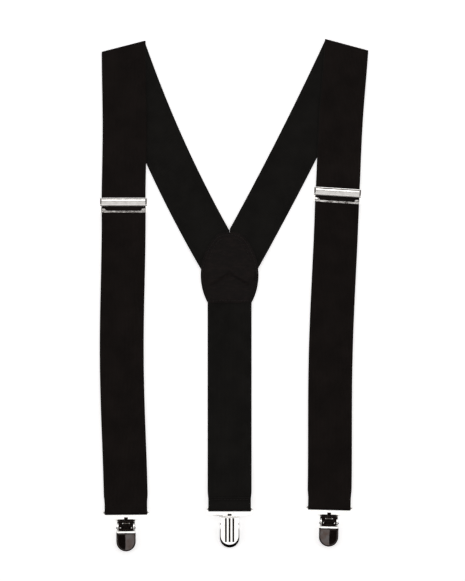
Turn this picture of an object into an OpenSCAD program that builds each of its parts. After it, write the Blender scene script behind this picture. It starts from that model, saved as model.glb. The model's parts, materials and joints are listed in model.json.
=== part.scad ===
// Y-back clip-on suspenders, laid flat: two folded shoulder straps, a centre back strap,
// a leather patch, two lever adjusters and three lever clips.
// +Y points to the shoulder folds, +Z up from the table, and the origin is under the middle.

/* [Webbing] */
// Width of the elastic webbing
webbing_w = 38; // [36:0.5:38]
// Thickness of the elastic webbing
webbing_t = 1.2; // [1:0.1:1.2]
// Gap between two layers that lie on each other
layer_gap = 0.3; // [0.2:0.05:0.4]
// Width of the webbing where it is squeezed between the arms of a clip
loop_w = 36.8; // [34:0.1:37]

/* [Layout] */
// Distance from the middle plane to the middle of each shoulder fold, left and right
fold_x = [95.1, 97.4];
// Height of the middle of each shoulder fold, left and right
fold_y = [214.5, 215.8];
// Slope of each shoulder fold line, left and right
fold_tilt = [14.4, 15];
// Tilt of each front strap above its adjuster, left and right
upper_tilt = [0, 3.6];
// Tilt of each front strap below its adjuster, left and right
lower_tilt = [0.43, 1.45];
// Length from each fold to the middle of its adjuster, left and right
upper_len = [136.2, 129.3];
// Length from the middle of each adjuster to the lower edge of its strap, left and right
lower_len = [267.3, 271.7];
// Heading of each back strap at the shoulder, left and right
back_start = [19, 24.8];
// Heading of each back strap at the patch, left and right
back_end = [31, 29.4];
// Length of each back strap along its middle, left and right
back_len = [215.7, 219.3];
// Middle of the patch and of the centre strap, across the suspenders
centre_x = -3.6; // [-5:0.1:5]
// Lower edge of the centre strap
centre_end_y = -185.8; // [-190:0.1:-160]

/* [Patch] */
// Half width of the leather patch
patch_half_w = 25; // [22:0.5:26]
// Height where the patch is widest
patch_waist_y = 18; // [14:0.5:22]
// Upper edge of the patch
patch_top_y = 55; // [50:0.5:56]
// Lower edge of the patch
patch_bottom_y = -6; // [-10:0.5:0]
// Radius of the bulging sides
patch_side_r = 50; // [45:1:60]
// Thickness of each leather patch
leather_t = 1.2; // [0.8:0.1:1.2]
// Length of one stitch
stitch_len = 1.9; // [1.5:0.1:2.2]
// Distance from one stitch to the next
stitch_pitch = 2.7; // [2.4:0.1:3.5]
// Radius of the sewing thread
thread_r = 0.25; // [0.2:0.05:0.3]

/* [Adjuster] */
// Height of the adjuster along the strap
adjuster_h = 12.7; // [12:0.1:14]
// Overall width of the adjuster
adjuster_w = 40.3; // [40.2:0.1:42]
// Thickness of the adjuster's cheeks
cheek_t = 1; // [0.8:0.05:1]
// Height of the adjuster's front bar
front_bar_h = 1.5; // [1.2:0.1:1.8]

/* [Clip] */
// Overall width of the clip's yoke
yoke_w = 39.7; // [39.5:0.1:41]
// Thickness of the clip's plates
plate_t = 1; // [0.8:0.1:1]
// Radius of the bar that the webbing runs round
bar_r = 0.8; // [0.7:0.05:0.8]
// Width of the ribbed tongue
tongue_w = 15.4; // [15:0.1:16]
// Length of the clip body below the strap
tongue_len = 28.4; // [28:0.1:29]
// Width of the lever's flap
flap_w = 16.8; // [16:0.1:18]
// Length of the lever below the strap
flap_len = 31.3; // [30.5:0.1:32]

/* [Hidden] */
$fn = 48;

LEFT = 0;
RIGHT = 1;
BACK = 2;

// A length and a height beyond everything, for cutting blocks
far = 600;
tall = 40;
// Small play that keeps neighbouring pieces apart
play = 0.1;

// Levels of the webbing above the table
upper_z = webbing_t + layer_gap;
fold_r = (2 * webbing_t + layer_gap) / 2;

// The webbing loop round a clip's bar
loop_in_r = bar_r + 0.15;
loop_r = loop_in_r + webbing_t;
bar_z = loop_r;
bar_y = loop_r;
loop_len = 10;
hem_len = 12;
hem_z = bar_z + loop_in_r - webbing_t - play;

// The adjuster: rear bar inside the sewn end, webbing over it, lever on top
rear_bar_t = 0.8;
rear_bar_z = webbing_t + 0.15;
turned_z = rear_bar_z + rear_bar_t + 0.15;
clamped_z = turned_z + webbing_t + 0.2;
turn_r = (turned_z + webbing_t) / 2;
turn_y = -2.4;
clamp_plate_t = 0.8;
clamp_plate_y = 0.3;
clamp_plate_h = 5;
hub_r = 1.2;
hub_y = 0.25;
hub_z = clamped_z + webbing_t + play + hub_r;
lever_x = adjuster_w / 2 - cheek_t - 0.2;
trunnion_r = 0.7;
trunnion_hole_r = 0.76;
sewn_end_len = 22;
turned_end_len = 15;

// The clip: levels from the back of the tongue up
tongue_t = 1.3;
yoke_z = bar_z - plate_t / 2;
yoke_y = -0.3;
neck_y = -5.4;
ear_x = 6.45;
jaw_pin_y = -7.4;
jaw_pin_z = 2.9;
jaw_pin_r = 0.6;
jaw_t = 0.8;
jaw_len = 28;
cam_y = -11;
cam_z = 5.35;
cam_r = 1.1;
cam_offset = 0.3;
ear_r = 1.9;
flap_y = -15.4;
lip_r = 0.7;
lip_y = -14.6;
lip_z = 5.2;
clip_h = cam_z + ear_r;

// ---- Helpers ----

// A profile drawn in (y, z), extruded across x and centred
module across(width) {
    rotate([90, 0, 90]) linear_extrude(width, center = true) children();
}

// Outline of a strip of given thickness above a line of [y, z] points
function strip(points, t) = concat(points, [for (i = [len(points) - 1 : -1 : 0]) points[i] + [0, t]]);

// The right side is drawn as a left side and mirrored
module on_side(side) {
    if (side == RIGHT) mirror([1, 0, 0]) children();
    else children();
}

module at_fold(side) {
    on_side(side) translate([-fold_x[side], fold_y[side], 0]) children();
}

module at_adjuster(side) {
    at_fold(side) rotate(upper_tilt[side]) translate([0, -upper_len[side], 0]) children();
}

module below_adjuster(side) {
    at_adjuster(side) rotate(lower_tilt[side] - upper_tilt[side]) children();
}

// The clip's own frame has y = 0 at the lower edge of the strap and z = 0 at the tongue's back
module at_clip(place) {
    if (place == BACK) translate([centre_x, centre_end_y, clip_h]) rotate([0, 180, 0]) children();
    else below_adjuster(place) translate([0, -lower_len[place], 0]) children();
}

// Everything on the strap side of a fold line
module strap_side_of_fold(side) {
    rotate(fold_tilt[side]) translate([-far / 2, -far, 0]) cube([far, far - play / 2, tall]);
}

module stitch(length) {
    rotate([90, 0, 0]) cylinder(r = thread_r, h = length, center = true);
}

// A row of stitches along x
module stitch_row(length) {
    count = floor(length / stitch_pitch);
    for (i = [0 : count - 1])
        translate([(i - (count - 1) / 2) * stitch_pitch, 0, 0]) rotate(90) stitch(stitch_len);
}

// ---- Patch ----

// Two bulging sides that meet in a blunt top and a flat bottom
module patch_outline() {
    side_x = patch_side_r - patch_half_w;
    round_top_r = 26;
    intersection() {
        translate([-side_x, patch_waist_y]) circle(patch_side_r, $fn = 120);
        translate([side_x, patch_waist_y]) circle(patch_side_r, $fn = 120);
        union() {
            translate([0, patch_top_y - round_top_r]) circle(round_top_r);
            translate([-round_top_r, patch_bottom_y])
                square([2 * round_top_r, patch_top_y - round_top_r - patch_bottom_y]);
        }
    }
}

module outer_patch() {
    color("#241a16") translate([centre_x, 0, 0]) linear_extrude(leather_t) patch_outline();
}

// The inner patch lies on the outer patch, the centre strap and the back straps
inner_patch_z = leather_t + 2 * webbing_t;
module inner_patch() {
    color("#241a16") translate([centre_x, 0, inner_patch_z]) linear_extrude(leather_t) patch_outline();
}

// Stitches along an arc of the patch's edge, from one angle to another
module arc_stitches(radius, from, to) {
    step = stitch_pitch / radius * 180 / PI;
    for (a = [from : step : to]) rotate(a) translate([radius, 0, 0]) stitch(stitch_len);
}

// One row round the edge, and a second row inside it on the upper sides
module patch_stitching() {
    inset = 2;
    inner_inset = 5;
    bottom_angle = asin((patch_waist_y - patch_bottom_y - inset) / patch_side_r);
    top_angle = asin((patch_top_y - patch_waist_y - inset - 1) / patch_side_r);
    color("#0c0a09") translate([centre_x, 0, inner_patch_z + leather_t + thread_r]) {
        for (side = [0, 1]) mirror([side, 0, 0])
            translate([patch_half_w - patch_side_r, patch_waist_y, 0]) {
                arc_stitches(patch_side_r - inset, -bottom_angle, top_angle);
                arc_stitches(patch_side_r - inner_inset, 14, top_angle - 2);
            }
        translate([0, patch_top_y - inset, 0]) stitch_row(10);
        translate([0, patch_bottom_y + inset, 0]) stitch_row(2 * (patch_half_w - 9));
    }
}

// ---- Webbing ----

// From the patch to the shoulder fold: an arc in plan that steps down from the patch to the table
module back_strap(side) {
    turn = back_end[side] - back_start[side];
    radius = back_len[side] / (turn * PI / 180);
    arc_centre = radius * [cos(back_start[side]), sin(back_start[side])];
    end = arc_centre - radius * [cos(back_end[side]), sin(back_end[side])];
    middle = side == LEFT ? centre_x : -centre_x;
    sewn_z = leather_t + webbing_t;
    color("#1a1a1b") intersection() {
        at_fold(side) translate(arc_centre) rotate(180 + back_start[side])
            rotate_extrude(angle = turn, $fn = 720)
                translate([radius - webbing_w / 2, 0]) square([webbing_w, 2 * webbing_t + leather_t]);
        at_fold(side) translate(end) rotate(back_end[side])
            across(far) polygon(strip([[-far, sewn_z], [22, sewn_z], [55, 0], [far, 0]], webbing_t));
        at_fold(side) strap_side_of_fold(side);
        on_side(side) translate([middle - play - far, -far / 2, 0]) cube([far, far, tall]);
    }
}

module shoulder_fold(side) {
    length = webbing_w / cos(fold_tilt[side] - upper_tilt[side]);
    color("#1c1816") at_fold(side) rotate(fold_tilt[side]) translate([0, play / 2, fold_r])
        across(length) difference() {
            circle(fold_r);
            circle(fold_r - webbing_t);
            translate([-2 * fold_r, -fold_r]) square([2 * fold_r, 2 * fold_r]);
        }
}

module front_strap_upper(side) {
    length = upper_len[side];
    line = [[20, upper_z], [30 - length, upper_z], [9 - length, clamped_z],
            [2 * play - length, clamped_z]];
    color("#1c1816") at_fold(side) intersection() {
        rotate(upper_tilt[side]) across(webbing_w) polygon(strip(line, webbing_t));
        strap_side_of_fold(side);
    }
}

// The front layer passes straight through the adjuster, then takes up the lower strap's tilt
module front_strap_lower(side) {
    line = [[-7.5, clamped_z], [-8, clamped_z], [-16, 2.9], [-28, upper_z],
            [loop_len - lower_len[side] + play, upper_z]];
    color("#1c1816") {
        at_adjuster(side) across(webbing_w)
            polygon(strip([[0, clamped_z], [-8, clamped_z]], webbing_t));
        below_adjuster(side) across(webbing_w) polygon(strip(line, webbing_t));
    }
}

module return_strap(side) {
    line = [[-sewn_end_len - 1, 0], [loop_len - lower_len[side] + play, 0]];
    color("#1a1a1b") below_adjuster(side) across(webbing_w) polygon(strip(line, webbing_t));
}

// The turn of the webbing round a clip's bar, with the start of both layers
module bar_turn() {
    translate([bar_y, bar_z]) difference() {
        circle(loop_r);
        circle(loop_in_r);
        translate([0, -2 * loop_r]) square([2 * loop_r, 4 * loop_r]);
    }
}

module clip_loop(side) {
    front_z = bar_z + loop_in_r;
    color("#1c1816") at_clip(side) across(loop_w) {
        bar_turn();
        polygon(strip([[bar_y, 0], [loop_len, 0]], webbing_t));
        polygon(strip([[bar_y, front_z], [bar_y + 1, front_z], [loop_len, upper_z]], webbing_t));
    }
}

// The back clip lies face down, so its webbing comes up to it from the table
module centre_strap() {
    strap_z = clip_h - bar_z - loop_r;
    loop_y = centre_end_y + loop_len + play;
    line = [[loop_y, strap_z], [loop_y + 4, strap_z], [-110, 0], [-25, 0],
            [-8, leather_t], [22, leather_t]];
    color("#1a1a1b") translate([centre_x, 0, 0]) across(webbing_w) polygon(strip(line, webbing_t));
}

// The end of the centre strap, turned over the bar and sewn down on its upper face
module centre_hem_loop() {
    front_z = bar_z + loop_in_r;
    color("#1a1a1b") at_clip(BACK) across(loop_w) {
        bar_turn();
        polygon(strip([[bar_y, front_z], [loop_len, front_z]], webbing_t));
        polygon(strip([[bar_y, 0], [bar_y + 1, 0], [8.5, hem_z], [hem_len, hem_z]], webbing_t));
    }
}

module centre_hem_stitching() {
    color("#0c0a09") at_clip(BACK) translate([0, hem_len - 1.6, hem_z - thread_r])
        stitch_row(loop_w - 3);
}

// The end of the shoulder webbing, turned round the adjuster's rear bar and sewn to itself
module sewn_end(side) {
    color("#1a1a1b") at_adjuster(side) across(webbing_w - 0.4) {
        translate([turn_y, turn_r]) difference() {
            circle(turn_r);
            circle(turn_r - webbing_t);
            translate([-2 * turn_r, -2 * turn_r]) square([2 * turn_r, 4 * turn_r]);
        }
        polygon(strip([[turn_y, 0], [-sewn_end_len, 0]], webbing_t));
        polygon(strip([[turn_y, turned_z], [-6, turned_z], [-11, webbing_t + play],
                       [-turned_end_len, webbing_t + play]], webbing_t));
    }
}

module sewn_end_stitching(side) {
    color("#0c0a09") at_adjuster(side)
        for (y = [-11.4, -13.2]) translate([0, y, 2 * webbing_t + play + thread_r])
            stitch_row(webbing_w - 4);
}

// ---- Adjuster ----

module cheek_outline() {
    difference() {
        union() {
            polygon([[-adjuster_h / 2, 1.3], [5.6, 1.3], [6, 4.8], [1.2, hub_z + 0.9],
                     [-0.9, hub_z + 0.9], [-adjuster_h / 2, hub_z]]);
            translate([hub_y, hub_z]) circle(hub_r);
        }
        translate([hub_y, hub_z]) circle(trunnion_hole_r);
    }
}

module adjuster_frame(side) {
    bar_span = adjuster_w - cheek_t;
    bar_front_z = clamped_z + webbing_t + 0.2;
    gusset_l = 5;
    gusset_h = 2;
    color("#dcdcdc") at_adjuster(side) {
        for (x = [-1, 1]) translate([x * (adjuster_w - cheek_t) / 2, 0, 0])
            across(cheek_t) cheek_outline();
        translate([-bar_span / 2, -adjuster_h / 2, bar_front_z]) cube([bar_span, front_bar_h, 0.9]);
        translate([-bar_span / 2, turn_y - 2.6, rear_bar_z]) cube([bar_span, 2.7, rear_bar_t]);
        translate([-bar_span / 2, clamp_plate_y, clamped_z - 0.2 - clamp_plate_t])
            cube([bar_span, clamp_plate_h, clamp_plate_t]);
        for (x = [0, 1]) mirror([x, 0, 0])
            translate([bar_span / 2, front_bar_h - adjuster_h / 2, bar_front_z]) linear_extrude(0.6)
                polygon([[0, 0], [-gusset_l, 0], [-gusset_l + 1.5, gusset_h], [0, gusset_h]]);
    }
}

module adjuster_lever(side) {
    top_y = adjuster_h / 2;
    color("#e6e6e6") at_adjuster(side) {
        across(2 * lever_x) {
            translate([hub_y, hub_z]) circle(hub_r);
            polygon([[hub_y, hub_z + hub_r], [3.4, hub_z + 1.05], [5.3, hub_z + 0.6],
                     [top_y, hub_z - 0.2], [top_y, hub_z - 0.9], [5.7, hub_z - 0.9],
                     [4.7, hub_z - 0.1], [hub_y, hub_z]]);
        }
        translate([0, hub_y, hub_z]) rotate([0, 90, 0])
            cylinder(r = trunnion_r, h = adjuster_w + 0.5, center = true);
    }
}

// ---- Clip ----

module yoke_outline() {
    half = yoke_w / 2;
    difference() {
        polygon([[-half, bar_y + 0.9], [-half, -1.5], [-18.4, -2.6], [-9.6, -3.9], [-7.7, neck_y],
                 [-7.7, -8], [7.7, -8], [7.7, neck_y], [9.6, -3.9], [18.4, -2.6], [half, -1.5],
                 [half, bar_y + 0.9]]);
        translate([-loop_w / 2 - 0.2, yoke_y]) square([loop_w + 0.4, 10]);
        translate([-1.65, -3.7]) square([3.3, 1.7]);
    }
}

module tongue_outline() {
    nose_y = tongue_w / 2 - tongue_len;
    translate([0, nose_y]) circle(tongue_w / 2);
    translate([-tongue_w / 2, nose_y]) square([tongue_w, -7 - nose_y]);
}

// Side view of the body plate: the yoke at the bar's level, stepping back to the tongue
module body_profile() {
    polygon([[far, yoke_z], [-3.9, yoke_z], [neck_y, 0], [-tongue_len - 1, 0],
             [-tongue_len - 1, tongue_t], [-4.9, tongue_t], [-3.7, yoke_z + plate_t],
             [far, yoke_z + plate_t]]);
}

module ear_outline() {
    difference() {
        union() {
            translate([cam_y, cam_z]) circle(ear_r);
            polygon([[cam_y - ear_r, 0.6], [cam_y - ear_r, cam_z], [-9.6, 6.6], [-5.9, 4], [-5.7, 0.6]]);
        }
        translate([cam_y, cam_z]) circle(trunnion_hole_r);
        translate([jaw_pin_y, jaw_pin_z]) circle(jaw_pin_r + 0.02);
    }
}

module clip_body(place) {
    groove_r = 0.9;
    groove_pitch = 3.2;
    color("#dcdcdc") at_clip(place) {
        difference() {
            intersection() {
                linear_extrude(tall) {
                    yoke_outline();
                    tongue_outline();
                }
                across(2 * yoke_w) body_profile();
            }
            for (x = [-1, 0, 1]) translate([x * groove_pitch, neck_y - 0.2, -0.4])
                rotate([90, 0, 0]) cylinder(r = groove_r, h = tongue_len + neck_y - 2.4);
        }
        translate([0, bar_y, bar_z]) rotate([0, 90, 0])
            cylinder(r = bar_r, h = yoke_w - 0.4, center = true);
        for (x = [-1, 1]) translate([x * (ear_x + plate_t / 2), 0, 0]) across(plate_t) ear_outline();
    }
}

module clip_jaw(place) {
    knuckle_r = 1.1;
    knuckle_w = 2.8;
    jaw_w = 12.4;
    jaw_z = jaw_pin_z;
    color("#cfcfcf") at_clip(place) difference() {
        union() {
            for (x = [-1, 1]) translate([x * (jaw_w - knuckle_w) / 2, 0, 0])
                across(knuckle_w) translate([jaw_pin_y, jaw_z]) circle(knuckle_r);
            across(jaw_w) polygon([[-9, jaw_z], [-26.6, jaw_z], [-jaw_len + 0.6, 2.15],
                                   [-jaw_len, 2.15], [-jaw_len, 2.7], [-27, jaw_z + jaw_t],
                                   [-9, jaw_z + jaw_t]]);
            for (x = [-1, 1]) translate([x * (jaw_w - knuckle_w) / 2, 0, 0])
                across(knuckle_w)
                    polygon([[jaw_pin_y, jaw_z], [-9.5, jaw_z], [-9.5, jaw_z + jaw_t],
                             [jaw_pin_y, jaw_z + knuckle_r]]);
        }
        translate([0, jaw_pin_y, jaw_z]) rotate([0, 90, 0])
            cylinder(r = jaw_pin_r + 0.06, h = jaw_w + 1, center = true);
    }
}

module clip_pin(place) {
    color("#b8b8b8") at_clip(place) translate([0, jaw_pin_y, jaw_pin_z]) rotate([0, 90, 0])
        cylinder(r = jaw_pin_r, h = 2 * (ear_x + plate_t) + 0.3, center = true);
}

// Rings of a round wire along a line of points, each ring square to the line
function wire_ring(at, dir, r, sides) =
    let (side_a = cross(dir, abs(dir.x) > 0.9 ? [0, 0, 1] : [1, 0, 0]),
         u = side_a / norm(side_a),
         v = cross(dir, u))
    [for (i = [0 : sides - 1]) at + r * (cos(i * 360 / sides) * u + sin(i * 360 / sides) * v)];

module wire(path, r, sides) {
    last = len(path) - 1;
    directions = [for (i = [0 : last])
        let (d = path[min(i + 1, last)] - path[max(i - 1, 0)]) d / norm(d)];
    points = [for (i = [0 : last]) each wire_ring(path[i], directions[i], r, sides)];
    walls = [for (i = [0 : last - 1], j = [0 : sides - 1])
        [i * sides + j, (i + 1) * sides + j, (i + 1) * sides + (j + 1) % sides,
         i * sides + (j + 1) % sides]];
    caps = [[for (j = [0 : sides - 1]) j], [for (j = [sides - 1 : -1 : 0]) last * sides + j]];
    polyhedron(points, concat(caps, walls));
}

// A torsion spring round the jaw pin, with one leg on the tongue and one under the jaw
module clip_spring(place) {
    coil_r = 1;
    wire_r = 0.22;
    turns = 6;
    coil_w = 5;
    steps_per_turn = 14;
    coil = [for (i = [0 : turns * steps_per_turn])
        let (a = 200 + i * 360 / steps_per_turn)
        [coil_w * (i / (turns * steps_per_turn) - 0.5), coil_r * cos(a), coil_r * sin(a)]];
    first_leg = [[-coil_w / 2, -5.5, -1.3], [-coil_w / 2, -1.7, -1.15]];
    last_leg = [[coil_w / 2, -2.2, -0.4], [coil_w / 2, -5, -0.4]];
    color("#8f8f8f") at_clip(place) translate([0, jaw_pin_y, jaw_pin_z])
        wire(concat(first_leg, coil, last_leg), wire_r, 8);
}

module clip_pad(place) {
    pad_w = 12;
    tooth_r = 0.35;
    color("#26262a") at_clip(place) {
        translate([-pad_w / 2, -25.5, tongue_t]) cube([pad_w, 9.5, 0.4]);
        for (y = [-25 : 1.5 : -16.4]) translate([0, y, tongue_t + 0.4]) rotate([0, 90, 0])
            cylinder(r = tooth_r, h = pad_w, center = true);
    }
}

// Cross section of the lever's flap: two flat faces that meet in a low ridge, edges turned down
module flap_section() {
    half = flap_w / 2;
    t = 0.8;
    polygon([[-half, 4.3], [-half, 5.3], [0, 6.4], [half, 5.3], [half, 4.3], [half - t, 4.3],
             [half - t, 4.7], [0, 6.4 - t], [t - half, 4.7], [t - half, 4.3]]);
}

module flap_outline() {
    nose_y = flap_w / 2 - flap_len;
    translate([0, nose_y]) circle(flap_w / 2);
    translate([-flap_w / 2, nose_y]) square([flap_w, flap_y - nose_y]);
}

module clip_lever(place) {
    neck_w = 11.6;
    color("#e6e6e6") at_clip(place) {
        intersection() {
            linear_extrude(tall) flap_outline();
            rotate([90, 0, 0]) linear_extrude(far, center = true) flap_section();
        }
        translate([0, lip_y, lip_z]) rotate([0, 90, 0])
            cylinder(r = lip_r, h = flap_w - 0.4, center = true);
        translate([-flap_w / 2 + 0.6, flap_y, lip_z - 0.4]) cube([flap_w - 1.2, 0.9, 0.8]);
        across(neck_w) {
            translate([cam_y, cam_z - cam_offset]) circle(cam_r);
            polygon([[cam_y, 4.6], [cam_y, 6], [lip_y, 5.8], [lip_y, 4.7]]);
        }
        translate([0, cam_y, cam_z]) rotate([0, 90, 0])
            cylinder(r = trunnion_r, h = 2 * (ear_x + plate_t) + 0.9, center = true);
    }
}

// ---- Nodes ----

inner_patch();
outer_patch();
patch_stitching();
centre_strap();
centre_hem_loop();
centre_hem_stitching();

back_strap(LEFT);  // left_back_strap
shoulder_fold(LEFT);  // left_shoulder_fold
front_strap_upper(LEFT);  // left_front_strap_upper
front_strap_lower(LEFT);  // left_front_strap_lower
return_strap(LEFT);  // left_return_strap
clip_loop(LEFT);  // left_clip_loop
sewn_end(LEFT);  // left_sewn_end
sewn_end_stitching(LEFT);  // left_sewn_end_stitching
adjuster_frame(LEFT);  // left_adjuster_frame
adjuster_lever(LEFT);  // left_adjuster_lever
clip_body(LEFT);  // left_clip_body
clip_jaw(LEFT);  // left_clip_jaw
clip_lever(LEFT);  // left_clip_lever
clip_pin(LEFT);  // left_clip_pin
clip_spring(LEFT);  // left_clip_spring
clip_pad(LEFT);  // left_clip_pad

back_strap(RIGHT);  // right_back_strap
shoulder_fold(RIGHT);  // right_shoulder_fold
front_strap_upper(RIGHT);  // right_front_strap_upper
front_strap_lower(RIGHT);  // right_front_strap_lower
return_strap(RIGHT);  // right_return_strap
clip_loop(RIGHT);  // right_clip_loop
sewn_end(RIGHT);  // right_sewn_end
sewn_end_stitching(RIGHT);  // right_sewn_end_stitching
adjuster_frame(RIGHT);  // right_adjuster_frame
adjuster_lever(RIGHT);  // right_adjuster_lever
clip_body(RIGHT);  // right_clip_body
clip_jaw(RIGHT);  // right_clip_jaw
clip_lever(RIGHT);  // right_clip_lever
clip_pin(RIGHT);  // right_clip_pin
clip_spring(RIGHT);  // right_clip_spring
clip_pad(RIGHT);  // right_clip_pad

clip_body(BACK);  // back_clip_body
clip_jaw(BACK);  // back_clip_jaw
clip_lever(BACK);  // back_clip_lever
clip_pin(BACK);  // back_clip_pin
clip_spring(BACK);  // back_clip_spring
clip_pad(BACK);  // back_clip_pad
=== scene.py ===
"""Looks for the clip-on suspenders: woven webbing, a leather patch, thread and chrome hardware.

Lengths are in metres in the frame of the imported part. Positions come from its joints and boxes.
"""

import json
import math

import bmesh
import bpy
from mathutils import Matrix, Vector, noise


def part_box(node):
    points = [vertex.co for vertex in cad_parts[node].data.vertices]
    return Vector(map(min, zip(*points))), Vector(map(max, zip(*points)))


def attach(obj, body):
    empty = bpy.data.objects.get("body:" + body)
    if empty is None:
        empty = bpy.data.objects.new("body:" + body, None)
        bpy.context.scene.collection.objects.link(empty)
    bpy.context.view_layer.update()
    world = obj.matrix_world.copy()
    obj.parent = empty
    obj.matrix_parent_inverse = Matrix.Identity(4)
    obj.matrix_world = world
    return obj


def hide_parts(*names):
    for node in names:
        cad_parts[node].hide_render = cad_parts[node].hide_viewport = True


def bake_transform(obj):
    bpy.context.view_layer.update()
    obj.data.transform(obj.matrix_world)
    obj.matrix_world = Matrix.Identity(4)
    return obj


MM = 0.001
SIDES = ("left", "right")

# Sizes of the soft parts, the same as in the CAD part
WEBBING_W = 38 * MM
WEBBING_T = 1.2 * MM
LOOP_W = 36.8 * MM
LEATHER_T = 1.2 * MM
FRONT_Z = 1.5 * MM
CLAMPED_Z = 3.7 * MM
LOOP_LEN = 10 * MM
BAR_SETBACK = 2.15 * MM
BAR_LOOP_R = 1.55 * MM
HUB_SETBACK = 0.25 * MM

# Heading of each back strap at the shoulder and at the patch, from straight down, and its length
BACK_HEADINGS = {"left": (19, 31), "right": (24.8, 29.4)}
BACK_LENGTHS = {"left": 215.7 * MM, "right": 219.3 * MM}
# How far the front straps bow sideways, above and below the adjuster
UPPER_BOW = {"left": 0.8 * MM, "right": -0.9 * MM}
LOWER_BOW = {"left": -2.6 * MM, "right": -2.1 * MM}
END_GAP = 0.05 * MM  # between a strap's end and the fold line

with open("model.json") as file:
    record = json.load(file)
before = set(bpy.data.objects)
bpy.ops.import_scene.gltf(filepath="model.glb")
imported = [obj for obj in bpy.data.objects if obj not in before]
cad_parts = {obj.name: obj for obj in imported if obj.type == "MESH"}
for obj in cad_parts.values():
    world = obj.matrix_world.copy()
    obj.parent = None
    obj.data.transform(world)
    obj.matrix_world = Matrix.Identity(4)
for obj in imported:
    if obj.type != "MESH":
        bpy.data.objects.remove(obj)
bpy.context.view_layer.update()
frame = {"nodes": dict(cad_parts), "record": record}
record = frame["record"]
joints = {joint["name"]: joint for joint in record["behaviour"]["joints"]}
body_of_node = {
    node: body for body, nodes in record["behaviour"]["bodies"].items() for node in nodes
}


# ---- Small helpers ----

def clamp(value):
    return min(1.0, max(0.0, value))


def smooth(value):
    """Eases from 0 to 1."""
    t = clamp(value)
    return t * t * (3 - 2 * t)


def flat(vector):
    """The plan part of a position or an axis."""
    return Vector(vector[:2])


def joint_place(name):
    return flat(joints[name]["pos_m"])


def joint_axis(name):
    return flat(joints[name]["axis"]).normalized()


def add_piece(name, vertices, faces, materials):
    """A new object from plain vertex and face lists."""
    mesh = bpy.data.meshes.new(name)
    mesh.from_pydata(vertices, [], faces)
    mesh.update()
    for material in materials:
        mesh.materials.append(material)
    piece = bpy.data.objects.new(name, mesh)
    bpy.context.scene.collection.objects.link(piece)
    return piece


# ---- Node graphs ----

class Graph:
    """Builds a material's nodes. Inputs are sockets or plain numbers."""

    def __init__(self, tree):
        self.tree = tree

    def node(self, kind, inputs=None, **settings):
        made = self.tree.nodes.new(kind)
        for name, value in settings.items():
            setattr(made, name, value)
        for name, value in (inputs or {}).items():
            self.feed(made.inputs[name], value)
        return made

    def feed(self, socket, value):
        if isinstance(value, bpy.types.NodeSocket):
            self.tree.links.new(value, socket)
        else:
            socket.default_value = value

    def math(self, operation, first, second=0.0):
        return self.node("ShaderNodeMath", {0: first, 1: second}, operation=operation).outputs[0]

    def noise(self, vector, scale, detail=2.0, roughness=0.5):
        inputs = {"Vector": vector, "Scale": scale, "Detail": detail, "Roughness": roughness}
        return self.node("ShaderNodeTexNoise", inputs).outputs["Fac"]

    def cells(self, vector, scale):
        """Distance to the walls between random cells."""
        made = self.node("ShaderNodeTexVoronoi", {"Vector": vector, "Scale": scale},
                         feature="DISTANCE_TO_EDGE")
        return made.outputs["Distance"]

    def spread(self, value, low, high, to_low=0.0, to_high=1.0):
        """Maps the range low to high onto to_low to to_high, clamped."""
        inputs = {"Value": value, "From Min": low, "From Max": high,
                  "To Min": to_low, "To Max": to_high}
        return self.node("ShaderNodeMapRange", inputs).outputs["Result"]

    def blend(self, factor, first, second):
        """Mixes two colours."""
        made = self.node("ShaderNodeMix", data_type="RGBA")
        self.feed(made.inputs[0], factor)
        self.feed(made.inputs[6], first)
        self.feed(made.inputs[7], second)
        return made.outputs[2]

    def bump(self, height, strength, distance, normal=None):
        inputs = {"Height": height, "Strength": strength, "Distance": distance}
        if normal is not None:
            inputs["Normal"] = normal
        return self.node("ShaderNodeBump", inputs).outputs["Normal"]

    def object_mm(self, stretch=(1, 1, 1)):
        """Position on the piece in millimetres, optionally stretched along an axis."""
        place = self.node("ShaderNodeTexCoord").outputs["Object"]
        scale = [value / MM for value in stretch]
        return self.node("ShaderNodeMapping", {"Vector": place, "Scale": scale}).outputs[0]


def new_material(name, base, roughness, **constants):
    """A principled material, with constants set on the shader's own sockets."""
    material = bpy.data.materials.new(name)
    material.use_nodes = True
    shader = material.node_tree.nodes["Principled BSDF"]
    shader.inputs["Base Color"].default_value = base
    shader.inputs["Roughness"].default_value = roughness
    for socket, value in constants.items():
        shader.inputs[socket.replace("_", " ")].default_value = value
    return material, Graph(material.node_tree), shader


def rgb(red, green, blue):
    return (red, green, blue, 1.0)


# ---- Materials ----

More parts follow.
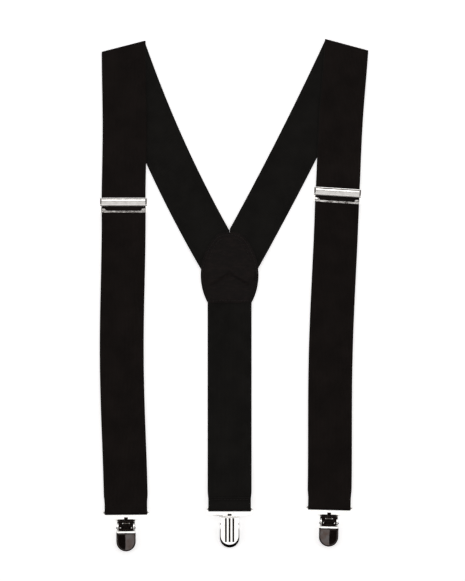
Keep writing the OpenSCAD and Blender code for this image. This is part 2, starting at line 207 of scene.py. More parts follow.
def webbing_material(name, dark, light):
    """Elastic webbing: lengthwise cords crossed by fine weft, with a tighter band at each selvedge."""
    material, graph, shader = new_material(name, dark, 0.8, Sheen_Weight=0.02, Sheen_Roughness=0.45,
                                           Specular_IOR_Level=0.1)
    uv = graph.node("ShaderNodeUVMap", uv_map="weave").outputs["UV"]
    place = graph.node("ShaderNodeSeparateXYZ", {0: uv})
    across = place.outputs["X"]
    along = place.outputs["Y"]
    cord = graph.math("DIVIDE", across, 1.15 * MM)
    column = graph.math("FLOOR", cord)
    pick = graph.math("ADD", graph.math("DIVIDE", along, 0.9 * MM), graph.math("MULTIPLY", column, 0.5))
    cord_round = graph.math("SINE", graph.math("MULTIPLY", graph.math("FRACT", cord), math.pi))
    pick_round = graph.math("SINE", graph.math("MULTIPLY", graph.math("FRACT", pick), math.pi))
    weave = graph.math("MULTIPLY", cord_round, graph.spread(pick_round, 0, 1, 0.45, 1))
    edge = graph.spread(graph.math("ABSOLUTE", across), WEBBING_W / 2 - 2.6 * MM,
                        WEBBING_W / 2 - 1.8 * MM)
    height = graph.node("ShaderNodeMix", {0: edge, 2: weave, 3: pick_round}).outputs[0]
    fibres = graph.noise(graph.object_mm((2.2, 2.2, 2.2)), 1.4, 5, 0.7)
    mottle = graph.noise(graph.object_mm(), 0.05, 3, 0.6)
    tone = graph.math("ADD", graph.math("MULTIPLY", height, 0.5), graph.math("MULTIPLY", fibres, 0.5))
    tone = graph.math("MULTIPLY", tone, graph.spread(mottle, 0.35, 0.65, 0.65, 1.3))
    graph.feed(shader.inputs["Base Color"], graph.blend(tone, dark, light))
    graph.feed(shader.inputs["Roughness"], graph.spread(fibres, 0.3, 0.7, 0.72, 0.92))
    fuzz = graph.bump(fibres, 0.25, 0.12 * MM)
    graph.feed(shader.inputs["Normal"], graph.bump(height, 0.55, 0.22 * MM, fuzz))
    return material


def leather_material():
    """Dark brown leather: pebbled grain, faint creases and rubbed high spots."""
    material, graph, shader = new_material("leather", rgb(0.008, 0.0055, 0.005), 0.55,
                                           Specular_IOR_Level=0.16)
    place = graph.object_mm()
    pebbles = graph.spread(graph.cells(place, 1.25), 0.0, 0.3)
    pores = graph.noise(place, 3.5, 4, 0.6)
    creases = graph.noise(graph.object_mm((0.35, 1, 1)), 0.5, 3, 0.6)
    worn = graph.spread(creases, 0.45, 0.75)
    colour = graph.blend(pebbles, rgb(0.0035, 0.0022, 0.002), rgb(0.0085, 0.0055, 0.0048))
    graph.feed(shader.inputs["Base Color"], graph.blend(worn, colour, rgb(0.014, 0.0085, 0.0072)))
    graph.feed(shader.inputs["Roughness"], graph.spread(pores, 0.3, 0.7, 0.5, 0.7))
    fine = graph.bump(pores, 0.2, 0.1 * MM)
    grain = graph.bump(pebbles, 0.45, 0.16 * MM, fine)
    graph.feed(shader.inputs["Normal"], graph.bump(creases, 0.3, 0.3 * MM, grain))
    return material


def thread_material():
    """Waxed sewing thread with the slant of its twist."""
    material, graph, shader = new_material("thread", rgb(0.006, 0.005, 0.005), 0.55,
                                           Specular_IOR_Level=0.25)
    place = graph.node("ShaderNodeSeparateXYZ", {0: graph.object_mm()})
    slant = graph.math("ADD", place.outputs["X"], graph.math("MULTIPLY", place.outputs["Y"], 0.7))
    twist = graph.math("ABSOLUTE", graph.math("SINE", graph.math("MULTIPLY", slant, 9)))
    lint = graph.noise(graph.object_mm(), 4, 3, 0.6)
    graph.feed(shader.inputs["Base Color"],
               graph.blend(twist, rgb(0.002, 0.0016, 0.0015), rgb(0.011, 0.008, 0.0072)))
    graph.feed(shader.inputs["Roughness"], graph.spread(lint, 0.3, 0.7, 0.45, 0.75))
    graph.feed(shader.inputs["Normal"], graph.bump(twist, 0.5, 0.08 * MM))
    return material


def metal_material(name, bright, dull, smoothest, roughest, wear_scale):
    """Plated metal: cloudy patches, fine scratches, and painted shade where two faces meet in a recess."""
    material, graph, shader = new_material(name, bright, smoothest, Metallic=1.0)
    place = graph.object_mm()
    cloud = graph.noise(place, wear_scale, 4, 0.6)
    scratches = graph.noise(graph.object_mm((9, 0.6, 2)), 1.1, 3, 0.7)
    rubbed = graph.spread(scratches, 0.6, 0.75)
    plating = graph.blend(graph.spread(cloud, 0.4, 0.8), bright, dull)
    open_sky = graph.node("ShaderNodeAmbientOcclusion", {"Distance": 1.3 * MM}, samples=8).outputs["AO"]
    # Painted shade: the base colour goes near black where ambient occlusion finds a recess close by.
    recess_shade = graph.spread(open_sky, 0.5, 0.86, 1, 0)
    graph.feed(shader.inputs["Base Color"], graph.blend(recess_shade, plating, rgb(0.012, 0.009, 0.008)))
    shine = graph.math("ADD", graph.spread(cloud, 0.35, 0.75, smoothest, roughest),
                       graph.math("MULTIPLY", rubbed, 0.06))
    graph.feed(shader.inputs["Roughness"], shine)
    ripple = graph.bump(graph.noise(place, 0.35, 1), 0.12, 0.5 * MM)
    graph.feed(shader.inputs["Normal"], graph.bump(scratches, 0.03, 0.05 * MM, ripple))
    return material


def grip_material():
    """Moulded soft plastic with a fine matt texture."""
    material, graph, shader = new_material("grip_pad", rgb(0.02, 0.02, 0.022), 0.6)
    texture = graph.noise(graph.object_mm(), 5, 4, 0.6)
    graph.feed(shader.inputs["Base Color"],
               graph.blend(texture, rgb(0.012, 0.012, 0.014), rgb(0.035, 0.035, 0.038)))
    graph.feed(shader.inputs["Roughness"], graph.spread(texture, 0.3, 0.7, 0.5, 0.75))
    graph.feed(shader.inputs["Normal"], graph.bump(texture, 0.3, 0.1 * MM))
    return material


def floor_material():
    """A pale light table."""
    material, graph, shader = new_material("floor", rgb(0.9, 0.9, 0.9), 0.9, Specular_IOR_Level=0.1,
                                           Emission_Color=rgb(1, 1, 1), Emission_Strength=0.62)
    fleck = graph.noise(graph.object_mm(), 0.02, 3)
    graph.feed(shader.inputs["Base Color"],
               graph.blend(fleck, rgb(0.89, 0.89, 0.89), rgb(0.92, 0.92, 0.92)))
    return material


OUTER_FACE = webbing_material("webbing_outer", rgb(0.0045, 0.0032, 0.0028), rgb(0.0165, 0.0122, 0.0108))
INNER_FACE = webbing_material("webbing_inner", rgb(0.0045, 0.0042, 0.0038), rgb(0.0165, 0.0155, 0.014))
LEATHER = leather_material()
THREAD = thread_material()
CHROME = metal_material("chrome", rgb(0.86, 0.85, 0.83), rgb(0.74, 0.72, 0.69), 0.05, 0.14, 0.25)
SMOKED = metal_material("smoked_chrome", rgb(0.085, 0.078, 0.077), rgb(0.06, 0.038, 0.03), 0.07, 0.16, 0.16)
# Near-black steel as painted shade: the clip's grooves, the well under the cam, dark outlines, the lever's
# rim, neck and cam, the jaw and the sheet in the slot.
SHADE_STEEL = metal_material("aged_steel", rgb(0.014, 0.0105, 0.009), rgb(0.006, 0.0045, 0.004), 0.2, 0.36, 0.6)
SPRING_STEEL = metal_material("spring_steel", rgb(0.3, 0.27, 0.24), rgb(0.12, 0.09, 0.07),
                              0.22, 0.42, 0.6)
GRIP = grip_material()


# ---- Webbing ----

class Run:
    """Plan of one length of webbing on the table: distances from its start, offsets to its left."""

    def __init__(self, start, direction, length, turn=0.0, bow=0.0):
        self.start = start
        self.ahead = direction.normalized()
        self.left = Vector((-self.ahead.y, self.ahead.x))
        self.length = length
        self.turn = turn
        self.bow = bow

    def at(self, distance, offset):
        side = offset + self.bow * math.sin(math.pi * clamp(distance / self.length)) ** 2
        if not self.turn:
            return self.start + self.ahead * distance + self.left * side
        radius = self.length / self.turn
        angle = distance / radius
        centre = self.start + self.left * radius
        return centre + (radius - side) * (self.ahead * math.sin(angle) - self.left * math.cos(angle))

    def lift(self, distance, place):
        """Small waves of webbing that lies loose, fading out at the hardware."""
        loose = smooth(distance / (30 * MM)) * smooth((self.length - distance) / (45 * MM))
        wave = noise.noise(Vector((place.x, place.y, 0)) / (42 * MM))
        return loose * (0.5 + 0.5 * wave) * 0.55 * MM


def profile(points, step=3 * MM):
    """Side view of a run: (distance, height) points joined by smooth ramps."""
    line = [points[0]]
    for (near, low), (far, high) in zip(points, points[1:]):
        count = max(1, round(abs(far - near) / step))
        for i in range(1, count + 1):
            t = i / count
            line.append((near + (far - near) * t, low + (high - low) * smooth(t)))
    return line


def bend(distance, height, radius, start, end, count=12):
    """Side view of a turn round a bar, in degrees from the direction of the run."""
    angles = [math.radians(start + (end - start) * i / count) for i in range(1, count)]
    return [(distance + radius * math.cos(a), height + radius * math.sin(a)) for a in angles]


def cross_section(thickness):
    """Loop of (share of the half width, height) points: flat faces and rounded selvedges."""
    half = thickness / 2
    shares = [i / 7 - 1 for i in range(15)]
    selvedge = [math.radians(90 - 30 * i) for i in range(1, 6)]
    top = [(share, half, 0.0) for share in shares]
    right = [(1, half * math.sin(a), half * math.cos(a)) for a in selvedge]
    bottom = [(-share, -half, 0.0) for share in shares]
    left = [(-1, -half * math.sin(a), -half * math.cos(a)) for a in selvedge]
    return top + right + bottom + left


def ribbon(name, run, line, skins, width=lambda distance: WEBBING_W, skew=None):
    """Webbing swept along a side view line. skins are its faces above and below the line.

    skew gives how far a station moves along the run for each metre of offset.
    """
    section = cross_section(WEBBING_T)
    size = len(section)
    vertices = []
    weave = []
    travelled = 0.0
    for i, (distance, height) in enumerate(line):
        before = Vector(line[max(i - 1, 0)])
        after = Vector(line[min(i + 1, len(line) - 1)])
        tangent = (after - before).normalized()
        travelled += (Vector(line[i]) - before).length
        flat_half = (width(distance) - WEBBING_T) / 2
        for share, rise, out in section:
            offset = share * flat_half + out
            along = distance - tangent.y * rise
            if skew:
                along += offset * skew(distance)
            place = run.at(along, offset)
            vertices.append((place.x, place.y, height + tangent.x * rise + run.lift(along, place)))
            weave.append((offset, travelled))
    faces = []
    for i in range(len(line) - 1):
        for j in range(size):
            k = (j + 1) % size
            faces.append((i * size + j, i * size + k, (i + 1) * size + k, (i + 1) * size + j))
    last = (len(line) - 1) * size
    faces.append(tuple(reversed(range(size))))
    faces.append(tuple(range(last, last + size)))
    piece = add_piece(name, vertices, faces, skins)
    mesh = piece.data
    for face in mesh.polygons:
        face.use_smooth = face.index < len(faces) - 2
        face.material_index = 0 if face.index % size < 17 else 1
    uv = mesh.uv_layers.new(name="weave")
    for loop in mesh.loops:
        uv.data[loop.index].uv = weave[loop.vertex_index]
    mesh.set_sharp_from_angle(angle=math.radians(60))
    fix_normals(mesh)
    return piece, travelled


def fix_normals(mesh):
    """Turns every face of a closed mesh outwards."""
    shape = bmesh.new()
    shape.from_mesh(mesh)
    bmesh.ops.recalc_face_normals(shape, faces=shape.faces)
    shape.to_mesh(mesh)
    shape.free()


def narrowing(start, length):
    """Width of webbing that is squeezed into a clip's slot at the end of its run."""
    return lambda distance: WEBBING_W - (WEBBING_W - LOOP_W) * smooth((distance - start) / length)


def point(place, height=0.0):
    return (place.x, place.y, height)


def fold_slope(side):
    """Direction of the fold line, pointing to the run's left as it leaves the fold."""
    axis = joint_axis(f"{side}_shoulder_unfold")
    return axis if axis.x > 0 else -axis


def skew_at_fold(side, run):
    """Slants the first stretch of a run so that it starts along the fold line."""
    line = fold_slope(side)
    slant = line.dot(run.ahead) / line.dot(run.left)
    return lambda distance: slant * (1 - smooth(distance / (24 * MM)))


def back_run(side):
    start, end = (math.radians(heading) for heading in BACK_HEADINGS[side])
    inward = 1 if side == "left" else -1
    direction = Vector((inward * math.sin(start), -math.cos(start)))
    fold = joint_place(f"{side}_shoulder_unfold")
    return Run(fold, direction, BACK_LENGTHS[side], turn=inward * (end - start))


def upper_run(side):
    fold = joint_place(f"{side}_shoulder_unfold")
    down = joint_axis(f"{side}_adjuster_slide")
    hub = joint_place(f"{side}_adjuster_lever_flip")
    length = (hub - fold).dot(down) + HUB_SETBACK
    return Run(fold, down, length, bow=UPPER_BOW[side])


def lower_run(side):
    upper = upper_run(side)
    down = joint_axis(f"{side}_strap_run")
    start = upper.start + upper.ahead * upper.length
    bar = joint_place(f"{side}_clip_swing")
    length = (bar - start).dot(down) + BAR_SETBACK
    return Run(start, down, length, bow=LOWER_BOW[side])


def back_webbing(side, middle_x):
    """From the shoulder fold down to the patch, wearer's side up."""
    run = back_run(side)
    low = WEBBING_T / 2
    sewn = LEATHER_T + WEBBING_T + low
    line = profile([(END_GAP, low), (run.length - 55 * MM, low), (run.length - 22 * MM, sewn),
                    (run.length, sewn)])
    piece, length = ribbon(f"{side}_back_webbing", run, line, (INNER_FACE, OUTER_FACE),
                           skew=skew_at_fold(side, run))
    cut_at_middle(piece, middle_x, 1 if side == "left" else -1)
    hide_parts(f"{side}_back_strap")
    point(run.at(run.length - 58 * MM, 0))
    point(run.at(20 * MM, 0))
    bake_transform(piece)


def cut_at_middle(piece, middle_x, outward):
    """Trims a back strap where it meets the other one under the patch."""
    shape = bmesh.new()
    shape.from_mesh(piece.data)
    everything = shape.verts[:] + shape.edges[:] + shape.faces[:]
    cut = bmesh.ops.bisect_plane(shape, geom=everything, clear_outer=True,
                                 plane_co=(middle_x - outward * 0.1 * MM, 0, 0),
                                 plane_no=(outward, 0, 0))
    edges = [part for part in cut["geom_cut"] if isinstance(part, bmesh.types.BMEdge)]
    bmesh.ops.contextual_create(shape, geom=edges)
    shape.to_mesh(piece.data)
    shape.free()


def fold_webbing(side):
    """The turn over the shoulder, as it lies folded."""
    upper = upper_run(side)
    radius = (FRONT_Z + WEBBING_T) / 2
    run = Run(upper.start, upper.ahead, upper.length)
    line = [(0, FRONT_Z + WEBBING_T / 2)] + bend(0, radius, FRONT_Z / 2, 90, 270) + [(0, WEBBING_T / 2)]
    line.reverse()
    slope = skew_at_fold(side, run)(0)
    piece, _ = ribbon(f"{side}_fold_webbing", run, line, (OUTER_FACE, INNER_FACE),
                      skew=lambda distance: slope)
    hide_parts(f"{side}_shoulder_fold")
    point(run.start, 0)
    point(run.start, 2 * radius)
    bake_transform(piece)


def upper_webbing(side):
    """From the shoulder fold up into the adjuster, outer face up."""
    run = upper_run(side)
    low = FRONT_Z + WEBBING_T / 2
    high = CLAMPED_Z + WEBBING_T / 2
    line = profile([(END_GAP, low), (run.length - 30 * MM, low), (run.length - 9 * MM, high),
                    (run.length, high)])
    piece, length = ribbon(f"{side}_upper_webbing", run, line, (OUTER_FACE, INNER_FACE),
                           skew=skew_at_fold(side, run))
    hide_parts(f"{side}_front_strap_upper")
    point(run.at(8 * MM, 0))
    point(run.at(run.length - 32 * MM, 0))
    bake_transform(piece)


def lower_webbing(side):
    """Down from the adjuster, round the clip's bar, and back up to the adjuster's rear bar."""
    run = lower_run(side)
    half = WEBBING_T / 2
    bar = run.length - BAR_SETBACK
    front = BAR_SETBACK + BAR_LOOP_R
    rear_turn = 1.75 * MM
    down = profile([(0.1 * MM, CLAMPED_Z + half), (8 * MM, CLAMPED_Z + half), (28 * MM, FRONT_Z + half),
                    (run.length - LOOP_LEN, FRONT_Z + half), (bar, front)])
    round_bar = bend(bar, BAR_SETBACK, BAR_LOOP_R, 90, -90)
    back_up = profile([(bar, half), (2.4 * MM, half)])
    round_rear_bar = bend(2.4 * MM, rear_turn, rear_turn - half, 270, 90)
    tail = profile([(2.4 * MM, 2.9 * MM), (6 * MM, 2.9 * MM), (11 * MM, 1.9 * MM), (15 * MM, 1.9 * MM)],
                   step=1 * MM)
    line = down + round_bar + back_up + round_rear_bar + tail
    piece, length = ribbon(f"{side}_lower_webbing", run, line, (OUTER_FACE, INNER_FACE),
                           width=narrowing(run.length - 18 * MM, 8 * MM))
    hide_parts(f"{side}_front_strap_lower", f"{side}_return_strap", f"{side}_clip_loop",
                f"{side}_sewn_end")
    point(run.at(30 * MM, 0))
    point(run.at(run.length - 14 * MM, 0))
    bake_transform(piece)


def centre_run():
    low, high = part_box("centre_strap")
    top = Vector(((low.x + high.x) / 2, high.y))
    bar = joint_place("back_clip_swing")
    return Run(top, Vector((0, -1)), top.y - bar.y + BAR_SETBACK)


def centre_webbing():
    """From under the patch down to the back clip's bar, then turned over and hemmed."""
    run = centre_run()
    half = WEBBING_T / 2
    bar = run.length - BAR_SETBACK
    bar_z = joints["back_clip_swing"]["pos_m"][2]
    lower = bar_z - BAR_LOOP_R
    upper = bar_z + BAR_LOOP_R
    hem = lower + WEBBING_T + 0.1 * MM
    down = profile([(0, LEATHER_T + half), (30 * MM, LEATHER_T + half), (48 * MM, half),
                    (run.length - 70 * MM, half), (run.length - 14 * MM, lower), (bar, lower)])
    round_bar = bend(bar, bar_z, BAR_LOOP_R, -90, 90)
    turned = profile([(bar, upper), (bar - 1 * MM, upper), (run.length - 8.5 * MM, hem),
                      (run.length - 12 * MM, hem)], step=1 * MM)
    piece, length = ribbon("centre_webbing", run, down + round_bar + turned, (INNER_FACE, INNER_FACE),
                           width=narrowing(run.length - 16 * MM, 5 * MM))
    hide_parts("centre_strap", "centre_hem_loop")
    point(run.at(50 * MM, 0))
    point(run.at(run.length - 18 * MM, 0))
    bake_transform(piece)


# ---- Leather patch ----

class Patch:
    """The patch's plan, measured from its own middle line, and what lies under it."""

    def __init__(self):
        low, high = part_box("inner_patch")
        self.x = (low.x + high.x) / 2
        self.bottom = low.y
        self.top = high.y
        self.half = (high.x - low.x) / 2

    def support(self, x, y):
        """Height of the webbing stack under the inner patch."""
        side = abs(x)
        ends = (y - 19.7 * MM + 0.6 * side) * 0.857
        edges = (y - 9.6 * MM - 1.66 * (side - 16.8 * MM)) * 0.515
        back_straps = smooth(min(ends, edges) / (2.6 * MM) + 0.5)
        inside = min(WEBBING_W / 2 - side, 22 * MM - y)
        centre_strap = smooth(inside / (2.6 * MM) + 0.5)
        return LEATHER_T + WEBBING_T * (centre_strap * (1 - back_straps) + 2 * back_straps)


def patch_outline(patch):
    """The patch's outline, taken from the CAD solid."""
    shape = bmesh.new()
    shape.from_mesh(frame["nodes"]["inner_patch"].data)
    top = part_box("inner_patch")[1].z
    corners = {(round(v.co.x, 6), round(v.co.y, 6)) for v in shape.verts if abs(v.co.z - top) < 1e-6}
    shape.free()
    middle = Vector((patch.x, (patch.top + patch.bottom) / 2))
    around = sorted(corners, key=lambda c: math.atan2(c[1] - middle.y, c[0] - middle.x))
    return resampled([Vector(c) for c in around], 1.6 * MM), middle


def resampled(loop, step):
    """The same closed loop with evenly spaced points."""
    ends = loop[1:] + loop[:1]
    total = sum((b - a).length for a, b in zip(loop, ends))
    count = round(total / step)
    made = []
    passed = 0.0
    for a, b in zip(loop, ends):
        length = (b - a).length
        while len(made) < count and len(made) * total / count <= passed + length:
            share = (len(made) * total / count - passed) / max(length, 1e-9)
            made.append(a.lerp(b, share))
        passed += length
    return made


class Skins:
    """Collects the closed surfaces that make up one piece. put turns (x, y, z) into a position."""

    def __init__(self, put):
        self.put = put
        self.vertices = []
        self.faces = []
        self.finish = []

    def add(self, loops, tips, finish):
        """One closed surface through loops of points, from one tip to the other.

        finish(band) is the number of the material between two loops.
        """
        first = len(self.vertices)
        count = len(loops[0])
        for loop in loops:
            self.vertices += [self.put(*spot) for spot in loop]
        start = len(self.vertices)
        self.vertices += [self.put(*tip) for tip in tips]
        last = first + (len(loops) - 1) * count
        for j in range(count):
            k = (j + 1) % count
            self.faces.append((start, first + j, first + k))
            self.faces.append((start + 1, last + k, last + j))
            self.finish += [finish(0), finish(len(loops))]
            for band in range(len(loops) - 1):
                low = first + band * count
                self.faces.append((low + j, low + k, low + count + k, low + count + j))
                self.finish.append(finish(band + 1))

    def plate(self, outline, middle, rings, surface, finish=lambda band: 0):
        """A plate round its middle. A ring is (share of the way out, inset, drop from the surface)."""
        loops = []
        for share, inset, drop in rings:
            loop = []
            for corner in outline:
                outward = corner - middle
                spot = middle + outward * share - outward.normalized() * inset
                loop.append((spot.x, spot.y, surface(spot.x, spot.y, drop)))
            loops.append(loop)
        tips = [(middle.x, middle.y, surface(middle.x, middle.y, ring[2])) for ring in (rings[0], rings[-1])]
        self.add(loops, tips, finish)

    def barrel(self, y, z, radius, length, rounding, finish=0, sides=24):
        """A round bar across the piece, with rounded ends."""
        half = length / 2
        steps = [math.radians(15 + 25 * i) for i in range(4)]
        near = [(-half + rounding * (1 - math.sin(a)), radius - rounding * (1 - math.cos(a - math.pi / 2)))
                for a in steps]
        stations = near + [(-x, r) for x, r in reversed(near)]
        loops = [
            [(x, y + r * math.cos(math.tau * k / sides), z + r * math.sin(math.tau * k / sides))
             for k in range(sides)]
            for x, r in stations
        ]
        self.add(loops, [(-half, y, z), (half, y, z)], lambda band: finish)

    def piece(self, name, materials):
        made = add_piece(name, self.vertices, self.faces, materials)
        made.data.shade_smooth()
        for face, finish in zip(made.data.polygons, self.finish):
            face.material_index = finish
        fix_normals(made.data)
        return made


def rounded_edge(radius, steps=4):
    """Rings of a quarter round at a plate's edge, as (share, inset, drop)."""
    angles = [math.radians(90 * i / steps) for i in range(steps + 1)]
    return [(1, radius * (1 - math.sin(a)), radius * (1 - math.cos(a))) for a in angles]


def leather_patch(name, node, patch, height_at):
    """One cut leather patch, its edge rounded, following what lies under it."""
    outline, middle = patch_outline(patch)
    bulge = 0.35 * MM
    shares = [i / 16 for i in range(1, 16)]
    over = [(share, 0, 0) for share in shares]
    under = [(share, 0, LEATHER_T) for share in reversed(shares)]
    upper_edge = rounded_edge(bulge)
    lower_edge = [(share, inset, LEATHER_T - drop) for share, inset, drop in reversed(upper_edge)]
    leather = Skins(lambda x, y, z: (x, y, z))
    leather.plate(outline, middle, over + upper_edge + lower_edge + under,
                  lambda x, y, drop: height_at(x - patch.x, y) + LEATHER_T - drop)
    piece = leather.piece(name, [LEATHER])
    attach(piece, "patch")
    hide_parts(node)
    return outline, middle


# ---- Thread ----

def stitches(name, seams, body, node, pitch=2.7 * MM, length=2.1 * MM, radius=0.27 * MM):
    """Rows of stitches. A seam is a list of (x, y, z) points, and each stitch dips in at its ends."""
    sides = 6
    steps = 6
    vertices = []
    faces = []
    for seam in seams:
        for near, far in stitch_spans([Vector(p) for p in seam], pitch, length):
            along = (far - near).normalized()
            across = along.cross(Vector((0, 0, 1))).normalized()
            up = across.cross(along)
            first = len(vertices)
            for i in range(steps + 1):
                t = i / steps
                swell = math.sin(math.pi * (0.08 + 0.84 * t)) ** 0.5
                middle = near.lerp(far, t) + up * radius * (1.1 * swell - 0.75)
                for j in range(sides):
                    angle = 2 * math.pi * j / sides
                    ring = across * math.cos(angle) + up * math.sin(angle)
                    vertices.append(middle + ring * radius * swell)
            for i in range(steps):
                for j in range(sides):
                    k = (j + 1) % sides
                    low = first + i * sides
                    high = low + sides
                    faces.append((low + j, low + k, high + k, high + j))
            faces.append(tuple(first + j for j in reversed(range(sides))))
            faces.append(tuple(first + steps * sides + j for j in range(sides)))
    piece = add_piece(name, vertices, faces, [THREAD])
    piece.data.shade_smooth()
    fix_normals(piece.data)
    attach(piece, body)
    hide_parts(node)


def stitch_spans(line, pitch, length):
    """Start and end of each stitch along a line."""
    gaps = [(b - a).length for a, b in zip(line, line[1:])]
    count = int(sum(gaps) / pitch)
    margin = (sum(gaps) - (count - 1) * pitch - length) / 2
    for i in range(count):
        start = margin + i * pitch
        yield along_line(line, gaps, start), along_line(line, gaps, start + length)


def along_line(line, gaps, distance):
    for a, b, gap in zip(line, line[1:], gaps):
        if distance <= gap:
            return a.lerp(b, distance / gap)
        distance -= gap
    return line[-1]


def patch_stitching(patch, outline, middle):
    """One row all round, and a second one inside it on the upper edges."""
    def seam(inset, keep):
        points = []
        for corner in outline:
            outward = corner - middle
            place = corner - outward.normalized() * inset
            if keep(place.x - patch.x, place.y):
                x = place.x - patch.x
                points.append((place.x, place.y, patch.support(x, place.y) + LEATHER_T))
        return points

    shoulder = 30 * MM
    right = seam(5 * MM, lambda x, y: x > 4 * MM and y > shoulder)
    left = seam(5 * MM, lambda x, y: x < -4 * MM and y > shoulder)
    whole = seam(2 * MM, lambda x, y: True)
    stitches("patch_thread", [whole + whole[:1], right, left], "patch", "patch_stitching")


def row_across(run, distance, height, width):
    """A seam straight across a run of webbing."""
    ends = [run.at(distance, offset) for offset in (-width / 2, width / 2)]
    return [point(end, height) for end in ends]


def hem_stitching():
    run = centre_run()
    top = joints["back_clip_swing"]["pos_m"][2] - BAR_LOOP_R + 1.5 * WEBBING_T + 0.1 * MM
    rows = [row_across(run, run.length - 10.4 * MM, top, LOOP_W - 3 * MM)]
    stitches("centre_hem_thread", rows, "centre_strap_end", "centre_hem_stitching")


def sewn_end_stitching(side):
    run = lower_run(side)
    rows = [row_across(run, distance * MM, 2.5 * MM, WEBBING_W - 4 * MM) for distance in (11.4, 13.2)]
    stitches(f"{side}_sewn_end_thread", rows, f"{side}_adjuster", f"{side}_sewn_end_stitching")


# ---- Hardware ----

def finished(piece, node):
    """A visual piece that stands for one CAD node and rides where the node does."""
    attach(piece, body_of_node[node])
    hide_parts(node)


def soften(node, materials, edge, outline_only=False):
    """The CAD solid with its edges rounded. Rounded edges take the last material.

    edge is the widest that the rounding may be. Blender narrows it to fit the shortest edge beside it,
    which on a clip body is a facet of the ears' holes, so a clip body's edges stay nearly sharp.
    """
    shape = bmesh.new()
    shape.from_mesh(frame["nodes"][node].data)
    bmesh.ops.remove_doubles(shape, verts=shape.verts, dist=1e-6)
    bmesh.ops.dissolve_limit(shape, angle_limit=math.radians(1.5), verts=shape.verts, edges=shape.edges)
    bmesh.ops.recalc_face_normals(shape, faces=shape.faces)
    weights = shape.edges.layers.float.new("bevel_weight_edge")
    for side in shape.edges:
        side[weights] = is_outline(side) if outline_only else is_corner(side)
    mesh = bpy.data.meshes.new(f"{node}_finish")
    shape.to_mesh(mesh)
    shape.free()
    for material in materials:
        mesh.materials.append(material)
    piece = bpy.data.objects.new(f"{node}_finish", mesh)
    bpy.context.scene.collection.objects.link(piece)
    mesh.shade_smooth()
    bevel = piece.modifiers.new("soft_edges", "BEVEL")
    bevel.limit_method = "WEIGHT"
    bevel.width = edge
    bevel.segments = 2
    bevel.material = len(materials) - 1
    mesh.set_sharp_from_angle(angle=math.radians(30))
    piece.modifiers.new("flat_faces", "WEIGHTED_NORMAL").keep_sharp = True
    finished(piece, node)
    return piece


def is_corner(side):
    """Whether an edge stands out by more than 32 degrees."""
    return len(side.link_faces) == 2 and side.calc_face_angle_signed(0) > math.radians(32)


def is_outline(side):
    """Whether an edge is the outline of a flat top or bottom, where it meets a tall wall."""
    if not is_corner(side):
        return False
    rises = sorted(abs(face.normal.z) for face in side.link_faces)
    wall = min(face.calc_area() for face in side.link_faces) / side.calc_length()
    return rises[0] < 0.1 and rises[1] > 0.95 and wall > 0.7 * MM


def repaint(piece, number, chosen):
    """Gives another of the piece's materials to the faces whose centres are chosen."""
    for face in piece.data.polygons:
        if chosen(face.center):
            face.material_index = number


def adjuster(side):
    soften(f"{side}_adjuster_frame", [CHROME], 0.12 * MM)
    soften(f"{side}_adjuster_lever", [CHROME], 0.2 * MM)


class ClipAxes:
    """A clip's own axes: x across, y up from the strap's lower edge, z up from the tongue's back."""

    def __init__(self, place):
        swing = joints[f"{place}_clip_swing"]["pos_m"]
        self.down = joint_axis("centre_stretch" if place == "back" else f"{place}_strap_run")
        self.right = Vector((-self.down.y, self.down.x))
        self.edge = flat(swing) + self.down * BAR_SETBACK
        self.bar_z = swing[2]
        self.face = -1 if place == "back" else 1

    def put(self, x, y, z):
        """Position of a point given in millimetres."""
        plan = self.edge + (self.right * x - self.down * y) * MM
        return (plan.x, plan.y, self.bar_z + self.face * (z * MM - BAR_SETBACK))

    def local(self, place):
        """The point in millimetres at a position."""
        plan = flat(place) - self.edge
        x = plan.dot(self.right) / MM
        y = -plan.dot(self.down) / MM
        return Vector((x, y, (self.face * (place.z - self.bar_z) + BAR_SETBACK) / MM))


# The clip lever, in millimetres on the clip's own axes
FLAP_HALF = 8.4
FLAP_TOP = -15.4
FLAP_TIP = -31.3
RIDGE_Z = 6.4
FLAP_EDGE_Z = 5.3
RIM_Z = 4.3
SHEET_T = 0.8
SHOULDER_R = 1.0
LIP_Z = 5.9
CAM = (-11, 5.35)
SLAB_T = 1.2  # thickness of the lip plate and the neck
SLAB_EDGE_R = 0.25
NECK_Z = 6.0
NECK_SLOPE = 0.055
DIMPLE_X = 4.8
DIMPLE_Y = -11.1
DIMPLE_RISE = 0.35
DIMPLE_SPREAD = 0.45
DIMPLE_R = 0.75


def flap_outline():
    """A straight top, straight sides and a round end, evenly stepped."""
    centre_y = FLAP_TIP + FLAP_HALF
    turn = [math.radians(6 * i) for i in range(31)]
    end = [Vector((FLAP_HALF * math.cos(a), centre_y - FLAP_HALF * math.sin(a))) for a in turn]
    rise = [centre_y + (FLAP_TOP - centre_y) * i / 8 for i in range(1, 8)]
    left = [Vector((-FLAP_HALF, y)) for y in rise]
    right = [Vector((FLAP_HALF, y)) for y in reversed(rise)]
    top = [Vector((FLAP_HALF * i / 8, FLAP_TOP)) for i in range(-8, 9)]
    return end + left + top + right


def flap_surface(x, y, drop):
    """Two flat slopes that meet in a softly rounded ridge, and a rim turned down at the edge."""
    slope = (RIDGE_Z - FLAP_EDGE_Z) / FLAP_HALF
    soft = 0.35
    top = RIDGE_Z - slope * (math.hypot(x, soft) - soft)
    return max(top - drop, RIM_Z)


def neck_surface(x, y, drop):
    """The lever's neck, with two pressed dimples."""
    dimple = math.exp(-((abs(x) - DIMPLE_X) ** 2 + (y - DIMPLE_Y) ** 2) / DIMPLE_SPREAD)
    return NECK_Z + (y - CAM[0]) * NECK_SLOPE + DIMPLE_RISE * dimple - drop


